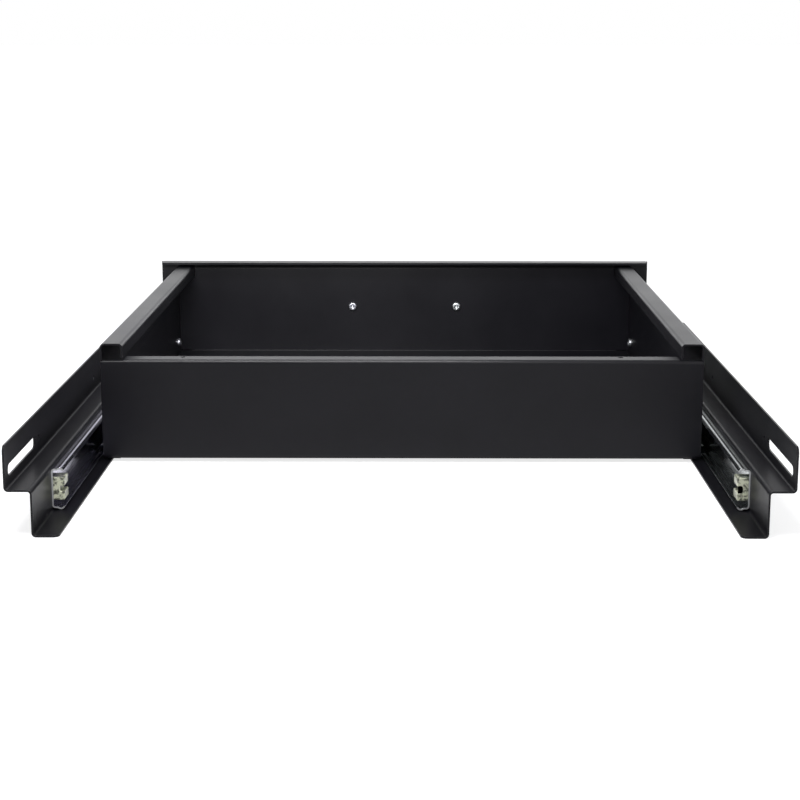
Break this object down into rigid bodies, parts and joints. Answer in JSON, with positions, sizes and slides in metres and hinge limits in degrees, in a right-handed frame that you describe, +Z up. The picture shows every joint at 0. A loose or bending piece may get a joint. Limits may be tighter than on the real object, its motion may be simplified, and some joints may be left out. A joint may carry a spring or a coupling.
{
  "type": "sliding rack drawer",
  "caption": "Sliding drawer for a 19 inch rack: folded steel box with a front panel and pull handle, on ball slides between two Z-section side brackets with slotted mounting flanges.",
  "frame": {"origin": "middle of the whole object's footprint with the drawer at its pose of rest, level with the underside of the bracket feet", "axes": "+X across the rack to the right as seen from the front, +Y from the front panel to the rear, +Z up; the drawer pulls out along -Y"},
  "size_m": [0.4722, 0.6434, 0.0883],
  "materials": {
    "black_powder_coat": "fine satin black powder coat",
    "black_handle_coat": "smooth satin black coat",
    "zinc_plated_steel": "bright zinc plate on rolled steel",
    "cage_steel": "plain zinc plate",
    "polished_balls": "polished steel",
    "zinc_fasteners": "bright zinc plate",
    "pale_plastic": "moulded, pale greenish white"
  },
  "bodies": {
    "rack_brackets": {"bracket_left": "black_powder_coat", "slide_channel_left": "zinc_plated_steel", "end_stop_left": "pale_plastic", "channel_screws_left": "zinc_fasteners", "channel_nuts_left": "zinc_fasteners", "bracket_right": "black_powder_coat", "slide_channel_right": "zinc_plated_steel", "end_stop_right": "pale_plastic", "channel_screws_right": "zinc_fasteners", "channel_nuts_right": "zinc_fasteners"},
    "cage_left": {"ball_cage_left": "cage_steel", "slide_balls_left": "polished_balls"},
    "cage_right": {"ball_cage_right": "cage_steel", "slide_balls_right": "polished_balls"},
    "drawer": {"drawer_floor": "black_powder_coat", "side_wall_left": "black_powder_coat", "side_wall_right": "black_powder_coat", "rear_wall": "black_powder_coat", "front_wall": "black_powder_coat", "front_panel": "black_powder_coat", "pull_handle": "black_handle_coat", "handle_screws": "zinc_fasteners", "slide_runner_left": "zinc_plated_steel", "slide_runner_right": "zinc_plated_steel", "runner_screws_left": "zinc_fasteners", "runner_screws_right": "zinc_fasteners"}
  },
  "joints": [
    {"name": "drawer_slide", "type": "slide", "parent": "rack_brackets", "child": "drawer", "axis": [0, -1, 0], "range_m": [-0.1475, 0.1375]},
    {"name": "cage_left_slide", "type": "slide", "parent": "rack_brackets", "child": "cage_left", "axis": [0, -1, 0], "range_m": [-0.07375, 0.06875]},
    {"name": "cage_right_slide", "type": "slide", "parent": "rack_brackets", "child": "cage_right", "axis": [0, -1, 0], "range_m": [-0.07375, 0.06875]}
  ],
  "couplings": [
    {"joint": "cage_left_slide", "follows": "drawer_slide", "ratio": 0.5},
    {"joint": "cage_right_slide", "follows": "drawer_slide", "ratio": 0.5}
  ]
}
